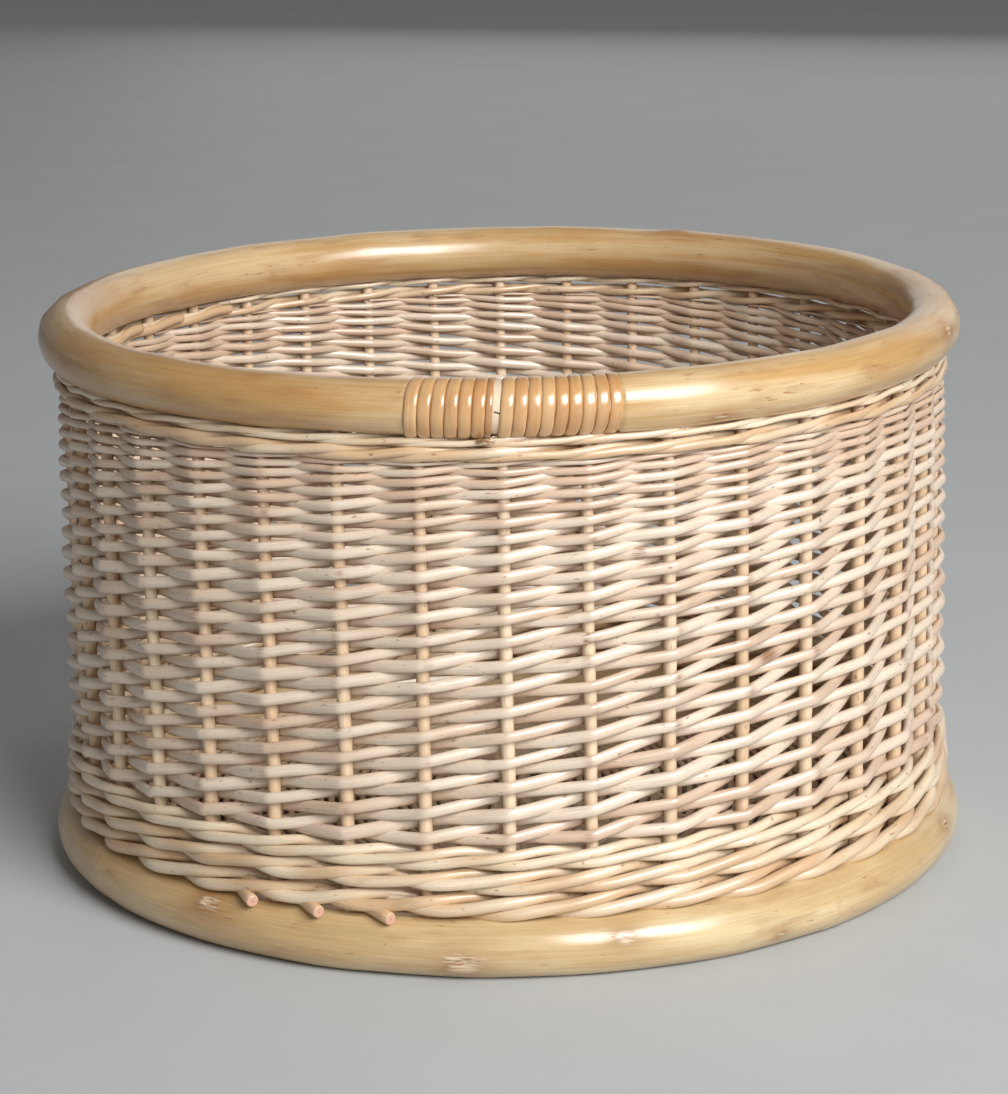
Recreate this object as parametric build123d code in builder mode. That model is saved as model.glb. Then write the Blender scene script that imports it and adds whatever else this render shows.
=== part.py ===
"""Round wicker basket: two bent cane hoops, willow stakes between them, and woven willow around the stakes.

Millimetres. The origin is on the floor under the middle of the basket, +Z is up, and the bound
joint of the rim hoop faces -Y. Angles around the basket are in degrees, counted from the front
(-Y) towards +X.
"""

import math
import os

from build123d import *

# Driving dimensions
STAKE_COUNT = 36
STAKE_CIRCLE_RADIUS = 212.0
STAKE_RADIUS = 2.7
STAKE_PITCH_DEG = 360 / STAKE_COUNT
STAKE_SEAT_DEPTH = 10.0

RIM_RADIUS = 211.5
RIM_CANE_RADIUS = 13.3
RIM_HEIGHT = 259.6

BASE_RADIUS = 213.3
BASE_CANE_RADIUS = 13.8
WORN_FLAT_DEPTH = 0.3
BASE_HEIGHT = BASE_CANE_RADIUS - WORN_FLAT_DEPTH

FIT_GAP = 0.1
WEAVE_GAP = 0.3

# Scarf joints: each hoop's two ends are cut on a long slant and meet face to face
SCARF_LENGTH = 84.0
SCARF_GAP = 0.2
RIM_SCARF_DEG = 1.3
BASE_SCARF_DEG = 180.0
PIN_RADIUS = 0.7
PIN_LENGTH = 16.0
PIN_SPACING = 26.0

# Half-round cane wound over the rim's scarf, in two groups of turns
BINDING_THICKNESS = 1.4
BINDING_ROUNDING = 0.9
BINDING_PITCH_DEG = 1.48
BINDING_ARC_DEG = 1.44
BINDING_LEFT_START_DEG = -10.3
BINDING_LEFT_TURNS = 6
BINDING_RIGHT_START_DEG = 0.7
BINDING_RIGHT_TURNS = 9
BOUND_CANE_RADIUS = RIM_CANE_RADIUS - BINDING_THICKNESS
BOUND_ZONE_START_DEG = -11.2
BOUND_ZONE_END_DEG = 13.6

# Woven bands, from the base hoop up to the rim
BOTTOM_WALE_ROD = 5.6
TOP_WALE_ROD = 3.4
RAND_BUTT = 5.5
RAND_TIP = 2.2
BOTTOM_WALE_BOTTOM = BASE_HEIGHT + BASE_CANE_RADIUS + WEAVE_GAP
BOTTOM_WALE_TOP = 61.4
TOP_WALE_BOTTOM = 235.2
TOP_WALE_TOP = RIM_HEIGHT - RIM_CANE_RADIUS - 3 * WEAVE_GAP

# Cut butt ends of the three lowest waling rods, standing out over the base hoop
BUTT_RADIUS = 2.75
BUTT_LENGTH = 16.0
BUTT_ANGLES_DEG = (-31.6, -22.7, -13.9)
BUTT_END_RADIUS = 223.4
BUTT_END_HEIGHT = 28.6

# Woven base: five pierced sticks, four sticks through them, opened out into eighteen arms
BASE_STICK_RADIUS = 3.2
BASE_STICK_GAP = 0.5
BASE_STICK_PITCH = 2 * BASE_STICK_RADIUS + BASE_STICK_GAP
BASE_STICK_REACH = BASE_RADIUS - BASE_CANE_RADIUS + 7.5
BASE_ARM_PITCH_DEG = 20.0
BASE_TURN_DEG = STAKE_PITCH_DEG / 2
FIRST_ARM_DEG = BASE_TURN_DEG + BASE_ARM_PITCH_DEG / 2
PIERCED_STICKS = 5
THREADED_STICKS = 4
BASE_ARM_COUNT = 2 * (PIERCED_STICKS + THREADED_STICKS)
BEND_RADIUS = 12.0
BASE_WEAVE_THICKNESS = 12.0
BASE_WEAVE_INNER_RADIUS = 29.0
BASE_WEAVE_OUTER_RADIUS = BASE_RADIUS - BASE_CANE_RADIUS - 2 * WEAVE_GAP


def around(radius, angle_deg, height):
    """Point at a radius and height, at an angle counted from the front."""
    angle = math.radians(angle_deg)
    return Vector(radius * math.sin(angle), -radius * math.cos(angle), height)


def along(angle_deg):
    """Direction that runs along a hoop at this angle, towards growing angles."""
    angle = math.radians(angle_deg)
    return Vector(math.cos(angle), math.sin(angle), 0)


def tangent_plane(radius, angle_deg, height):
    """Plane on a hoop's middle line: local X runs along the hoop and local Z up."""
    return Plane(origin=around(radius, angle_deg, height), x_dir=along(angle_deg), z_dir=(0, 0, 1))


def slant_plane(radius, angle_deg, height, cane_radius):
    """Plane of a scarf: tangent_plane tipped so that it crosses the cane over the scarf's length."""
    slant_deg = math.degrees(math.atan(2 * cane_radius / SCARF_LENGTH))
    return tangent_plane(radius, angle_deg, height).rotated((0, slant_deg, 0))


def slant_length(cane_radius):
    """Length of saw cut that just parts a cane along its scarf."""
    return math.hypot(SCARF_LENGTH, 2 * cane_radius) + 2 * WEAVE_GAP


def finish(piece, name):
    """Labels a finished piece and writes it to its own file."""
    piece.part.label = name
    export_step(piece.part, f"parts/{name}.step")


os.makedirs("parts", exist_ok=True)

# Rim hoop: one bent cane. It is shaved thinner where the binding lies, its ends meet in a scarf
# at the front, and the stakes' tops sit in blind holes drilled in its underside.
rim_scarf = slant_plane(RIM_RADIUS, RIM_SCARF_DEG, RIM_HEIGHT, BOUND_CANE_RADIUS)
bound_zone_arc = BOUND_ZONE_END_DEG - BOUND_ZONE_START_DEG
rim_arcs = (
    (BOUND_ZONE_END_DEG, 360 - bound_zone_arc, RIM_CANE_RADIUS),
    (BOUND_ZONE_START_DEG, bound_zone_arc, BOUND_CANE_RADIUS),
)
with BuildPart() as rim_hoop:
    for start_deg, arc_deg, cane_radius in rim_arcs:
        with BuildSketch(Plane.XZ.rotated((0, 0, start_deg - 90))):
            with Locations((RIM_RADIUS, RIM_HEIGHT)):
                Circle(cane_radius)
        revolve(axis=Axis.Z, revolution_arc=arc_deg)
    with Locations((0, 0, RIM_HEIGHT - RIM_CANE_RADIUS)):
        with PolarLocations(STAKE_CIRCLE_RADIUS, STAKE_COUNT):
            Cylinder(STAKE_RADIUS + FIT_GAP, 2 * STAKE_SEAT_DEPTH, mode=Mode.SUBTRACT)
    with Locations(rim_scarf):
        Box(slant_length(BOUND_CANE_RADIUS), 4 * RIM_CANE_RADIUS, SCARF_GAP, mode=Mode.SUBTRACT)
        with GridLocations(PIN_SPACING, 0, 2, 1):
            Cylinder(PIN_RADIUS, PIN_LENGTH + SCARF_GAP, mode=Mode.SUBTRACT)
finish(rim_hoop, "rim_hoop")

# Pins through the rim's scarf: two thin headless nails, hidden by the binding.
with BuildPart() as rim_scarf_pins:
    with Locations(rim_scarf):
        with GridLocations(PIN_SPACING, 0, 2, 1):
            Cylinder(PIN_RADIUS - FIT_GAP / 2, PIN_LENGTH)
finish(rim_scarf_pins, "rim_scarf_pins")

# Base hoop: one bent cane with its scarf at the back. Its underside has a narrow worn flat that
# the basket stands on, stakes sit in holes in its top, and the base sticks in holes in its inner side.
base_scarf = slant_plane(BASE_RADIUS, BASE_SCARF_DEG, BASE_HEIGHT, BASE_CANE_RADIUS)
with BuildPart() as base_hoop:
    with BuildSketch(Plane.XZ):
        with Locations((BASE_RADIUS, BASE_HEIGHT)):
            Circle(BASE_CANE_RADIUS)
        with Locations((BASE_RADIUS, -BASE_CANE_RADIUS)):
            Rectangle(2 * BASE_CANE_RADIUS, 2 * BASE_CANE_RADIUS, mode=Mode.SUBTRACT)
    revolve(axis=Axis.Z)
    with Locations((0, 0, BASE_HEIGHT + BASE_CANE_RADIUS)):
        with PolarLocations(STAKE_CIRCLE_RADIUS, STAKE_COUNT):
            Cylinder(STAKE_RADIUS + FIT_GAP, 2 * STAKE_SEAT_DEPTH, mode=Mode.SUBTRACT)
    with Locations((0, 0, BASE_HEIGHT)):
        with PolarLocations(BASE_STICK_REACH, BASE_ARM_COUNT, FIRST_ARM_DEG):
            Cylinder(
                BASE_STICK_RADIUS + FIT_GAP,
                2 * BASE_CANE_RADIUS,
                rotation=(0, 90, 0),
                align=(Align.CENTER, Align.CENTER, Align.MAX),
                mode=Mode.SUBTRACT,
            )
    with Locations(base_scarf):
        Box(slant_length(BASE_CANE_RADIUS), 4 * BASE_CANE_RADIUS, SCARF_GAP, mode=Mode.SUBTRACT)
        with GridLocations(PIN_SPACING, 0, 2, 1):
            Cylinder(PIN_RADIUS, PIN_LENGTH + SCARF_GAP, mode=Mode.SUBTRACT)
finish(base_hoop, "base_hoop")

# Pins through the base hoop's scarf.
with BuildPart() as base_scarf_pins:
    with Locations(base_scarf):
        with GridLocations(PIN_SPACING, 0, 2, 1):
            Cylinder(PIN_RADIUS - FIT_GAP / 2, PIN_LENGTH)
finish(base_scarf_pins, "base_scarf_pins")

# Rim binding: flat-backed half-round cane wound round and round over the scarf. Each turn is its
# own ring here, with its outer edges rounded over. Turns lie edge to edge in two groups, and the
# stakes that rise into the hoop there pass between the strands.
binding_groups = {
    "rim_binding_left": (BINDING_LEFT_START_DEG, BINDING_LEFT_TURNS),
    "rim_binding_right": (BINDING_RIGHT_START_DEG, BINDING_RIGHT_TURNS),
}
for group_name, (start_deg, turns) in binding_groups.items():
    with BuildPart() as rim_binding:
        for turn in range(turns):
            turn_deg = start_deg + (turn - 0.5) * BINDING_PITCH_DEG
            with BuildSketch(Plane.XZ.rotated((0, 0, turn_deg - 90))):
                with Locations((RIM_RADIUS, RIM_HEIGHT)):
                    Circle(RIM_CANE_RADIUS)
                    Circle(BOUND_CANE_RADIUS + FIT_GAP, mode=Mode.SUBTRACT)
            revolve(axis=Axis.Z, revolution_arc=BINDING_ARC_DEG)
            round_edges = edges(Select.LAST).filter_by(GeomType.CIRCLE)
            outer_edges = [edge for edge in round_edges if math.isclose(edge.radius, RIM_CANE_RADIUS)]
            fillet(outer_edges, BINDING_ROUNDING)
        with Locations((0, 0, RIM_HEIGHT - RIM_CANE_RADIUS)):
            with PolarLocations(STAKE_CIRCLE_RADIUS, STAKE_COUNT):
                Cylinder(STAKE_RADIUS + FIT_GAP, 2 * STAKE_SEAT_DEPTH, mode=Mode.SUBTRACT)
    finish(rim_binding, group_name)

# Stakes: straight willow rods that stand in the base hoop and end in the rim hoop.
stake_bottom = BASE_HEIGHT + BASE_CANE_RADIUS - STAKE_SEAT_DEPTH + FIT_GAP
stake_top = RIM_HEIGHT - RIM_CANE_RADIUS + STAKE_SEAT_DEPTH - FIT_GAP
for number in range(STAKE_COUNT):
    with BuildPart() as stake:
        stake_foot = around(STAKE_CIRCLE_RADIUS, number * STAKE_PITCH_DEG, stake_bottom)
        with BuildSketch(Plane(origin=stake_foot)):
            Circle(STAKE_RADIUS)
        extrude(amount=stake_top - stake_bottom)
    finish(stake, f"stake_{number + 1:02d}")


# Woven bands. Rods pass in front of and behind the stakes, so each band is a rod thick on both
# sides of them. The bottom wale is thick rods twisted three together, bedded on the base hoop, and
# the butt ends of its first three rods stand out below it, cut off square. The wall is one block
# of tapered rods, one to each stake, worked in front of one stake and behind the next; they start
# thick and end thin. The top wale is thin rods twisted together, tight under the rim hoop.
woven_bands = {
    "bottom_wale": (BOTTOM_WALE_BOTTOM, BOTTOM_WALE_TOP, BOTTOM_WALE_ROD, BOTTOM_WALE_ROD),
    "wall_rand": (BOTTOM_WALE_TOP + WEAVE_GAP, TOP_WALE_BOTTOM - WEAVE_GAP, RAND_BUTT, RAND_TIP),
    "top_wale": (TOP_WALE_BOTTOM, TOP_WALE_TOP, TOP_WALE_ROD, TOP_WALE_ROD),
}
for band_name, (bottom, top, rod_at_bottom, rod_at_top) in woven_bands.items():
    with BuildPart() as woven_band:
        with BuildSketch(Plane.XZ):
            with BuildLine():
                Polyline(
                    (STAKE_CIRCLE_RADIUS - STAKE_RADIUS - rod_at_bottom, bottom),
                    (STAKE_CIRCLE_RADIUS + STAKE_RADIUS + rod_at_bottom, bottom),
                    (STAKE_CIRCLE_RADIUS + STAKE_RADIUS + rod_at_top, top),
                    (STAKE_CIRCLE_RADIUS - STAKE_RADIUS - rod_at_top, top),
                    close=True,
                )
            make_face()
        revolve(axis=Axis.Z)
        if band_name == "bottom_wale":
            for butt_deg in BUTT_ANGLES_DEG:
                butt_end = around(BUTT_END_RADIUS, butt_deg, BUTT_END_HEIGHT)
                butt_direction = along(butt_deg) * 0.7 + around(0.5, butt_deg, -0.5)
                with BuildSketch(Plane(origin=butt_end, z_dir=butt_direction)):
                    Circle(BUTT_RADIUS)
                extrude(amount=-BUTT_LENGTH)
        with Locations((0, 0, (bottom + top) / 2)):
            with PolarLocations(STAKE_CIRCLE_RADIUS, STAKE_COUNT):
                Cylinder(STAKE_RADIUS + FIT_GAP, 2 * (top - bottom), mode=Mode.SUBTRACT)
    finish(woven_band, band_name)


# Base sticks: four lie through slits in the middle of five others. Each pierced stick is swollen
# round its slit. A stick lies straight across the middle, then its arms bend out to run from the
# centre, and their ends sit in the base hoop.
slit_length = THREADED_STICKS * BASE_STICK_PITCH + BASE_STICK_GAP
slit_height = 2 * BASE_STICK_RADIUS + 2 * FIT_GAP
stick_sets = (
    ("base_stick_threaded", THREADED_STICKS, BASE_TURN_DEG, False),
    ("base_stick_pierced", PIERCED_STICKS, BASE_TURN_DEG + 90, True),
)
for set_name, count, turn_deg, pierced in stick_sets:
    stick_plane = Plane(origin=(0, 0, BASE_HEIGHT)).rotated((0, 0, turn_deg))
    for number in range(count):
        place = number - (count - 1) / 2
        offset = place * BASE_STICK_PITCH
        arm = math.radians(abs(place) * BASE_ARM_PITCH_DEG)
        reach_x = BASE_STICK_REACH * math.cos(arm)
        reach_y = math.copysign(BASE_STICK_REACH * math.sin(arm), offset)
        with BuildPart(stick_plane) as base_stick:
            with BuildLine(stick_plane) as route:
                if offset == 0:
                    Line((-reach_x, 0, 0), (reach_x, 0, 0))
                else:
                    bend_x = abs(offset) / math.tan(arm)
                    FilletPolyline(
                        (-reach_x, reach_y, 0),
                        (-bend_x, offset, 0),
                        (bend_x, offset, 0),
                        (reach_x, reach_y, 0),
                        radius=BEND_RADIUS,
                    )
            with BuildSketch(Plane(origin=route.wire() @ 0, z_dir=route.wire() % 0)):
                Circle(BASE_STICK_RADIUS)
            sweep(path=route.wire())
            if pierced:
                with Locations((0, offset, 0)):
                    Box(slit_length + BASE_STICK_RADIUS, 2 * BASE_STICK_RADIUS, slit_height + 2 * BASE_STICK_RADIUS)
                    Box(slit_length, 4 * BASE_STICK_RADIUS, slit_height, mode=Mode.SUBTRACT)
        finish(base_stick, f"{set_name}_{number + 1}")

# Base weave: rods paired round and round between the arms of the sticks, out to the base hoop.
with BuildPart() as base_weave:
    with BuildSketch(Plane.XY.offset(BASE_HEIGHT - BASE_WEAVE_THICKNESS / 2)):
        Circle(BASE_WEAVE_OUTER_RADIUS)
        Circle(BASE_WEAVE_INNER_RADIUS, mode=Mode.SUBTRACT)
    extrude(amount=BASE_WEAVE_THICKNESS)
    with Locations((0, 0, BASE_HEIGHT)):
        with PolarLocations(BASE_STICK_REACH, BASE_ARM_COUNT, FIRST_ARM_DEG):
            Cylinder(
                BASE_STICK_RADIUS + FIT_GAP,
                BASE_STICK_REACH,
                rotation=(0, 90, 0),
                align=(Align.CENTER, Align.CENTER, Align.MAX),
                mode=Mode.SUBTRACT,
            )
finish(base_weave, "base_weave")
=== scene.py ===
"""Looks of a round wicker basket: willow rods woven round 36 stakes between two bent cane hoops."""

import math

import bpy
import numpy as np
from mathutils import Matrix, Vector


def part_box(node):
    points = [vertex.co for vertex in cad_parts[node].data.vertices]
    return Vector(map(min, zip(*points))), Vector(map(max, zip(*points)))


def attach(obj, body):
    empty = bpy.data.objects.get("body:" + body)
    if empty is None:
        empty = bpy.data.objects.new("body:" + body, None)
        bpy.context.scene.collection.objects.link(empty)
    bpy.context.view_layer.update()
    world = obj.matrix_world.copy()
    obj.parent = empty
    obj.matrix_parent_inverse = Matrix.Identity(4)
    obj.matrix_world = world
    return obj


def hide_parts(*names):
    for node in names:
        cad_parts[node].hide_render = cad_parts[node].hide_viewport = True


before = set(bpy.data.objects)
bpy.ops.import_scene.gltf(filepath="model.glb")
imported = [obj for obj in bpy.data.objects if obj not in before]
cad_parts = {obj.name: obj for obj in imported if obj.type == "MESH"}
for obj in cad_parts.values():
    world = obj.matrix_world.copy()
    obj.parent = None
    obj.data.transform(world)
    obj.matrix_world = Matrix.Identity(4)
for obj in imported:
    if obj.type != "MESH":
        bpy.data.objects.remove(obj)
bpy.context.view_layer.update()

# Camera: a long lens in front of the basket and a little above it, which looks down on the bound
# joint of the rim and into the mouth.
camera_distance = 1.685
camera_height = 0.564
camera_pitch_deg = 13.97
camera_roll_deg = -1.01
camera_lens_mm = 114.5
camera_data = bpy.data.cameras.new("camera")
camera_data.lens = camera_lens_mm
camera_data.sensor_width = 36
camera_data.clip_end = 30
camera = bpy.data.objects.new("camera", camera_data)
camera.matrix_world = (
    Matrix.Translation((0, -camera_distance, camera_height))
    @ Matrix.Rotation(math.radians(90 - camera_pitch_deg), 4, "X")
    @ Matrix.Rotation(math.radians(camera_roll_deg), 4, "Z")
)
bpy.context.scene.collection.objects.link(camera)
bpy.context.scene.camera = camera

# Base sticks: nine straight willow rods. Four lie through slits in the middle of the other five, and
# outside the middle they open out like spokes into eighteen arms, which end in the base hoop.
mm = 0.001
draw = np.random.default_rng(36)


def unit(vectors):
    """Vectors of length one."""
    return vectors / np.linalg.norm(vectors, axis=-1, keepdims=True)


def ease(share):
    """0 before 0, 1 after 1, and a smooth change between."""
    share = np.clip(share, 0, 1)
    return share * share * (3 - 2 * share)


def wander(distance, size, wave):
    """Slow drift along a piece, of about this size, in waves of about this length."""
    drift = np.zeros(len(distance))
    for stretch in (1.0, 0.61, 0.37, 1.9):
        drift += np.sin(2 * np.pi * distance / (wave * stretch) + draw.uniform(0, 2 * np.pi))
    return size * drift / 2


def round_section(sides):
    """A round section of radius one."""
    turn = 2 * np.pi * np.arange(sides) / sides
    return np.stack([np.cos(turn), np.sin(turn)], axis=-1)


def rod_shape(line, radius, upright=(0, 0, 1), section=None, tint=0.5, scuff=0.0, cut=0.0, end_round=0.16):
    """A closed rod: a section, scaled by the radius at each point, carried along a line.

    Each point of the surface knows where it lies in the wood (two ways across the grain and one
    along it, in metres), and has a mark that holds tint, scuff and cut wood.
    """
    section = round_section(12) if section is None else section
    line = np.asarray(line, float)
    last_point = len(line) - 1
    ends = np.clip(np.arange(-1, len(line) + 1), 0, last_point)
    run = unit(np.gradient(line, axis=0))[ends]
    line, radius, tint, scuff, cut = (
        np.broadcast_to(np.asarray(values, float).T, shape).T[ends].copy()
        for values, shape in ((line, (3, len(line))), (radius, len(line)), (tint, len(line)),
                              (scuff, len(line)), (cut, len(line)))
    )
    upright = np.broadcast_to(np.asarray(upright, float), (last_point + 1, 3))[ends]
    section = np.broadcast_to(section, (last_point + 1, *section.shape[-2:]))[ends]
    line[0] -= run[0] * radius[0] * end_round
    line[-1] += run[-1] * radius[-1] * end_round
    radius[[0, -1]] *= 1 - end_round
    side = unit(np.cross(run, upright))
    lift = np.cross(side, run)
    across = radius[:, None, None] * section
    rings = line[:, None] + across[..., :1] * side[:, None] + across[..., 1:] * lift[:, None]
    steps, sides = rings.shape[:2]
    along = np.concatenate([[0], np.cumsum(np.linalg.norm(np.diff(line, axis=0), axis=1))])
    along = along + draw.uniform(0, 5)
    lay = np.concatenate([across, np.broadcast_to(along[:, None, None], (steps, sides, 1))], axis=2)
    mark = np.stack([tint, scuff, cut], axis=-1)[:, None] * np.ones((1, sides, 1))
    points = np.concatenate([rings.reshape(-1, 3), line[:1], line[-1:]])
    lay = np.concatenate([lay.reshape(-1, 3), [[0, 0, along[0]], [0, 0, along[-1]]]])
    mark = np.concatenate([mark.reshape(-1, 3), [[tint[0], 0, 1], [tint[-1], 0, 1]]])
    mark[:sides, 2] = 1
    mark[(steps - 1) * sides:steps * sides, 2] = 1
    ring = np.arange(steps * sides).reshape(steps, sides)
    after = np.roll(ring, -1, axis=1)
    quads = np.stack([ring[:-1], ring[1:], after[1:], after[:-1]], axis=-1).reshape(-1, 4)
    first, last = steps * sides, steps * sides + 1
    caps = [(first, a, b) for a, b in zip(ring[0], after[0])]
    caps += [(last, b, a) for a, b in zip(ring[-1], after[-1])]
    return points, quads, np.array(caps), lay, mark, np.zeros(len(points))


def wood_piece(name, *shapes):
    """A piece of one or more shapes. Its sides are smooth quads, and its cut ends flat triangles."""
    starts = np.cumsum([0] + [len(shape[0]) for shape in shapes])
    points, lay, mark, lap = (np.concatenate([shape[part] for shape in shapes]) for part in (0, 3, 4, 5))
    quads, caps = (
        np.concatenate([shape[part].reshape(-1, size) + start for shape, start in zip(shapes, starts)])
        for part, size in ((1, 4), (2, 3))
    )
    mesh = bpy.data.meshes.new(name)
    corners = np.concatenate([quads.ravel(), caps.ravel()])
    sizes = np.concatenate([np.full(len(quads), 4), np.full(len(caps), 3)])
    mesh.vertices.add(len(points))
    mesh.vertices.foreach_set("co", points.astype(np.float32).ravel())
    mesh.loops.add(len(corners))
    mesh.loops.foreach_set("vertex_index", corners.astype(np.int32))
    mesh.polygons.add(len(sizes))
    starts = np.concatenate([[0], np.cumsum(sizes)[:-1]])
    mesh.polygons.foreach_set("loop_start", starts.astype(np.int32))
    mesh.polygons.foreach_set("use_smooth", sizes == 4)
    for label, values in (("lay", lay), ("mark", mark)):
        store = mesh.attributes.new(label, "FLOAT_VECTOR", "POINT")
        store.data.foreach_set("vector", np.ascontiguousarray(values, np.float32).ravel())
    mesh.attributes.new("lap", "FLOAT", "POINT").data.foreach_set("value", lap.astype(np.float32))
    mesh.update(calc_edges=True)
    mesh.validate()
    piece = bpy.data.objects.new(name, mesh)
    bpy.context.scene.collection.objects.link(piece)
    return piece


def finish_piece(piece, material, slot, *nodes):
    """Gives a piece its material, and its place in the basket."""
    piece.data.materials.append(material)
    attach(piece, "root")
    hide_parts(*nodes)


def group_start(name, inputs, outputs):
    """A shader node group with these inputs (name: type and value) and outputs (name: type)."""
    group = bpy.data.node_groups.new(name, "ShaderNodeTree")
    for label, (kind, value) in inputs.items():
        socket = group.interface.new_socket(label, in_out="INPUT", socket_type=kind)
        socket.default_value = value
    for label, kind in outputs.items():
        group.interface.new_socket(label, in_out="OUTPUT", socket_type=kind)
    return group, group.nodes.new("NodeGroupInput").outputs, group.nodes.new("NodeGroupOutput").inputs


def node(tree, kind, settings=None, **values):
    """A node with these settings and inputs. An input's value is a number, a colour or a socket."""
    made = tree.nodes.new("ShaderNode" + kind)
    for label, value in (settings or {}).items():
        setattr(made, label, value)
    for label, value in values.items():
        index = label[1:] if label[0] == "_" else label.replace("_", " ")
        socket = made.inputs[int(index) if index.isdigit() else index]
        if isinstance(value, bpy.types.NodeSocket):
            tree.links.new(value, socket)
        else:
            socket.default_value = value
    return made


def maths(tree, operation, *values, clamp=False):
    """The result of a Math node."""
    inputs = {f"_{number}": value for number, value in enumerate(values)}
    return node(tree, "Math", {"operation": operation, "use_clamp": clamp}, **inputs).outputs[0]


def blend(tree, share, first, second, mode="MIX"):
    """A colour between the first and the second."""
    made = node(tree, "Mix", {"data_type": "RGBA", "blend_type": mode}, _0=share, _6=first, _7=second)
    return made.outputs[2]


def ramp(tree, value, low, high):
    """0 where the value is at low, 1 where it is at high, smooth between."""
    made = node(tree, "MapRange", {"interpolation_type": "SMOOTHSTEP"}, _0=value, _1=low, _2=high)
    return made.outputs[0]


def grain_noise(tree, lay, across, along, detail=2.0, lap=None):
    """Noise with this many waves in a metre across the grain and along it.

    Lap is a second measure along the grain, for a cane that is bent into a ring with no end.
    """
    waves = (across, across, along)
    stretched = node(tree, "VectorMath", {"operation": "MULTIPLY"}, _0=lay, _1=waves).outputs[0]
    values = {"Vector": stretched, "Scale": 1.0, "Detail": detail}
    if lap is None:
        return node(tree, "TexNoise", None, **values).outputs[0]
    lapped = maths(tree, "MULTIPLY", lap, along)
    return node(tree, "TexNoise", {"noise_dimensions": "4D"}, W=lapped, **values).outputs[0]


willow_grain, given, result = group_start(
    "willow_grain",
    {
        "Pale": ("NodeSocketColor", (0.8, 0.7, 0.5, 1)),
        "Tan": ("NodeSocketColor", (0.6, 0.4, 0.3, 1)),
        "Bruise": ("NodeSocketColor", (0.3, 0.15, 0.08, 1)),
        "Cut": ("NodeSocketColor", (0.7, 0.45, 0.35, 1)),
        "Specks": ("NodeSocketFloat", 0.6),
    },
    {"Colour": "NodeSocketColor", "Roughness": "NodeSocketFloat", "Height": "NodeSocketFloat"},
)
lay = node(willow_grain, "Attribute", {"attribute_name": "lay"}).outputs["Vector"]
mark = node(willow_grain, "Attribute", {"attribute_name": "mark"}).outputs["Vector"]
tint, scuff, cut = node(willow_grain, "SeparateXYZ", None, Vector=mark).outputs
slow_tone = grain_noise(willow_grain, lay, 90, 14, 3.0)
streak = grain_noise(willow_grain, lay, 1500, 45, 3.0)
fine = grain_noise(willow_grain, lay, 4200, 160, 2.0)
speck = grain_noise(willow_grain, lay, 420, 210, 2.0)
blotch = grain_noise(willow_grain, lay, 160, 60, 2.0)
tone = maths(willow_grain, "ADD", maths(willow_grain, "MULTIPLY", slow_tone, 1.5), tint)
tone = maths(willow_grain, "ADD", tone, maths(willow_grain, "MULTIPLY", streak, 0.5))
share = ramp(willow_grain, tone, 1.0, 2.0)
colour = blend(willow_grain, share, given["Pale"], given["Tan"])
light_streak = maths(willow_grain, "MULTIPLY_ADD", streak, 0.55, 0.72)
light_fine = maths(willow_grain, "MULTIPLY_ADD", fine, 0.2, 0.9)
shade = maths(willow_grain, "MULTIPLY", light_streak, light_fine)
colour = node(willow_grain, "VectorMath", {"operation": "SCALE"}, _0=colour, Scale=shade).outputs[0]
speck_mask = maths(willow_grain, "MULTIPLY", ramp(willow_grain, speck, 0.66, 0.76), given["Specks"])
colour = blend(willow_grain, speck_mask, colour, given["Bruise"])
blotch_mask = maths(willow_grain, "MULTIPLY", ramp(willow_grain, blotch, 0.6, 0.8), 0.28)
colour = blend(willow_grain, blotch_mask, colour, given["Bruise"])
scuff_mask = maths(willow_grain, "MULTIPLY", scuff, ramp(willow_grain, streak, 0.35, 0.6))
colour = blend(willow_grain, scuff_mask, colour, given["Bruise"])
flat_lay = node(willow_grain, "VectorMath", {"operation": "MULTIPLY"}, _0=lay, _1=(1, 1, 0)).outputs[0]
from_pith = node(willow_grain, "VectorMath", {"operation": "LENGTH"}, _0=flat_lay).outputs["Value"]
off_pith = ramp(willow_grain, from_pith, 0.1 * mm, 0.7 * mm)
cut_colour = blend(willow_grain, off_pith, given["Bruise"], given["Cut"])
colour = blend(willow_grain, ramp(willow_grain, cut, 0.9, 1.0), colour, cut_colour)
willow_grain.links.new(colour, result["Colour"])
roughness = maths(willow_grain, "MULTIPLY_ADD", streak, 0.24, 0.3)
roughness = maths(willow_grain, "MULTIPLY_ADD", cut, 0.3, roughness)
willow_grain.links.new(roughness, result["Roughness"])
height = maths(willow_grain, "ADD", streak, maths(willow_grain, "MULTIPLY", fine, 0.35))
height = maths(willow_grain, "SUBTRACT", height, maths(willow_grain, "MULTIPLY", speck_mask, 0.5))
willow_grain.links.new(height, result["Height"])


def wood_material(name, group, values, bump_height, coat, coat_roughness):
    """Varnished wood: a grain group's colour, roughness and height under a clear coat."""
    material = bpy.data.materials.new(name)
    material.use_nodes = True
    tree = material.node_tree
    surface = tree.nodes["Principled BSDF"]
    grain = tree.nodes.new("ShaderNodeGroup")
    grain.node_tree = group
    for label, value in values.items():
        grain.inputs[label].default_value = value
    bump = node(tree, "Bump", None, Height=grain.outputs["Height"], Distance=bump_height, Strength=1.0)
    tree.links.new(grain.outputs["Colour"], surface.inputs["Base Color"])
    tree.links.new(grain.outputs["Roughness"], surface.inputs["Roughness"])
    tree.links.new(bump.outputs[0], surface.inputs["Normal"])
    surface.inputs["Coat Weight"].default_value = coat
    surface.inputs["Coat Roughness"].default_value = coat_roughness
    surface.inputs["Coat IOR"].default_value = 1.7
    return material


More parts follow.
